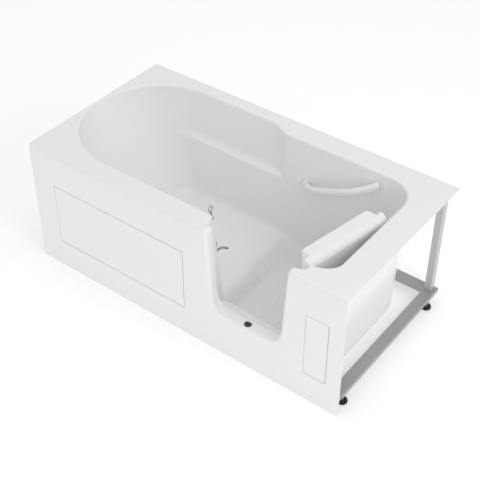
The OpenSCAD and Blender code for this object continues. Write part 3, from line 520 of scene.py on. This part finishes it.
def sweep(name, path, widths, heights):
    """A tube of oval section along a path, its height upright."""
    up = np.array([0.0, 0, 1])
    way = np.gradient(path, axis=0)
    way /= np.linalg.norm(way, axis=1)[:, None]
    verts, faces = [], []
    for p, t, w, h in zip(path, way, widths, heights):
        side = np.cross(t, up)
        side /= np.linalg.norm(side)
        top = np.cross(side, t)
        for k in range(bar_sides):
            a = 2 * math.pi * k / bar_sides
            c, s = (math.copysign(abs(v) ** oval_power, v) for v in (math.cos(a), math.sin(a)))
            verts.append(p + side * (w / 2 * c) + top * (h / 2 * s))
    for i in range(len(path) - 1):
        for k in range(bar_sides):
            a, b = i * bar_sides + k, i * bar_sides + (k + 1) % bar_sides
            faces.append([a, b, b + bar_sides, a + bar_sides])
    last = (len(path) - 1) * bar_sides
    faces.append(list(range(bar_sides))[::-1])
    faces.append([last + k for k in range(bar_sides)])
    return add_mesh(name, verts, faces)


steps = np.linspace(0, 1, 61)
to_end = np.abs(2 * steps - 1)
bar_z = bar_low + bar_rise * steps
bar_y = back_wall - (rim_z - bar_z) * wall_lean - bar_bow * (1 - to_end ** bow_power)
bar_path = np.stack([bar_x + bar_run * steps, bar_y, bar_z], 1)
spread = 1 + bar_spread * to_end ** spread_power
grab_bar = sweep("bowed_grab_bar", bar_path, bar_w * spread, bar_h * spread)
grab_bar.data.materials.append(new_material(
    "grab bar plastic", grey(0.84), grey(0.82), 0.30, 0.38, coat=0.2))
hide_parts("grab_bar")
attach(grab_bar, "tub")


# ---------- Fittings and frame carried over from the solids
# Steel rails and uprights, chrome latch, hinges, waste and overflow, black feet and small parts.

rail_edge = 1.2
carried = {
    "foam": new_material(
        "cast foam", (0.62, 0.52, 0.30), (0.56, 0.46, 0.26), 0.8, 0.95, scale=30),
    "seal": new_material("seal rubber", grey(0.86), grey(0.83), 0.5, 0.65, scale=20),
    "frame_steel": new_material(
        "galvanised steel", grey(0.42), (0.37, 0.37, 0.375), 0.42, 0.55, metal=0.35, scale=25),
    "zinc": new_material(
        "zinc plate", (0.55, 0.55, 0.56), (0.48, 0.48, 0.49), 0.3, 0.42, metal=0.9, scale=40),
    "stainless": new_material(
        "satin stainless", (0.60, 0.60, 0.61), (0.54, 0.54, 0.55), 0.25, 0.35, metal=1.0),
    # The chrome is coloured darker than bright chrome: painted dark reflections, standing in for
    # dark surroundings that it would mirror.
    "chrome": new_material(
        "chrome plate with painted dark reflections", (0.46, 0.46, 0.47), (0.42, 0.42, 0.43), 0.06, 0.11, metal=1.0),
    "black_rubber": new_material("black rubber", grey(0.02), grey(0.035), 0.5, 0.65, scale=60),
    "pipe_plastic": new_material(
        "pipe plastic", (0.88, 0.88, 0.87), (0.85, 0.85, 0.84), 0.4, 0.5, scale=15),
    "pad_board": new_material(
        "pad board", (0.45, 0.32, 0.18), (0.36, 0.25, 0.14), 0.7, 0.85, scale=14),
    "foot_plastic": new_material("foot nylon", grey(0.012), grey(0.022), 0.3, 0.42, scale=50),
}
slots = {row["node"]: row["material_slot"] for row in frame["record"]["subparts"]}
for node, obj in frame["nodes"].items():
    if slots[node] in carried:
        obj.data.materials.clear()
        obj.data.materials.append(carried[slots[node]])
# The uprights get a lighter copy of the same galvanised steel as the rails: painted light on the
# uprights.
lit_upright_steel = new_material(
    "upright steel with painted light", grey(0.60), (0.55, 0.55, 0.555), 0.42, 0.55, metal=0.35, scale=25)
frame["nodes"]["uprights"].data.materials.clear()
frame["nodes"]["uprights"].data.materials.append(lit_upright_steel)
for node in ("front_rail", "rear_rail", "drain_end_rail", "head_end_rail", "uprights"):
    soften(frame["nodes"][node], rail_edge, 2)


# ---------- The room: a pale floor, soft studio light and the camera of the photograph
# Stage only, in metres. The camera was solved from the rim's and the apron's corners.

floor_size, floor_drop, floor_glow, sky_strength = 40, 0.0005, 0.27, 0.70
white = (1, 1, 1, 1)
bpy.ops.mesh.primitive_plane_add(size=floor_size, location=(0, 0, -floor_drop))
ground = bpy.context.object
ground.name = "floor"
pale_floor = new_material("pale floor", grey(0.88), grey(0.87), 0.9, 0.95)
floor_shader = pale_floor.node_tree.nodes["Principled BSDF"]
floor_shader.inputs["Emission Color"].default_value = white
floor_shader.inputs["Emission Strength"].default_value = floor_glow
ground.data.materials.append(pale_floor)

world = bpy.data.worlds.new("studio")
scene.world = world
world.use_nodes = True
world.node_tree.nodes["Background"].inputs["Color"].default_value = white
world.node_tree.nodes["Background"].inputs["Strength"].default_value = sky_strength


def soft_light(name, place, aim, size, power):
    """A square lamp at a place, turned to what it lights."""
    light = bpy.data.lights.new(name, "AREA")
    light.shape = "SQUARE"
    light.size = size
    light.energy = power
    lamp = bpy.data.objects.new(name, light)
    lamp.location = place
    lamp.rotation_euler = (Vector(aim) - Vector(place)).to_track_quat("-Z", "Y").to_euler()
    scene.collection.objects.link(lamp)


soft_light("overhead softbox", (-0.6, 0.4, 4.5), (0, 0, 0.4), 4.0, 18)
soft_light("key softbox", (3.8, -0.9, 3.0), (0, 0, 0.3), 2.5, 42)

azimuth, elevation = math.radians(37.255), math.radians(40.273)
camera_data = bpy.data.cameras.new("camera")
camera_data.lens = 76.905
camera_data.sensor_width = 36
camera = bpy.data.objects.new("camera", camera_data)
camera.location = (1.975416, -2.583565, 2.957615)
backward = Vector((math.sin(azimuth) * math.cos(elevation),
                   -math.cos(azimuth) * math.cos(elevation), math.sin(elevation)))
camera.rotation_euler = (-backward).to_track_quat("-Z", "Y").to_euler()
scene.collection.objects.link(camera)
scene.camera = camera
scene.view_settings.view_transform = "Standard"
scene.view_settings.look = "None"
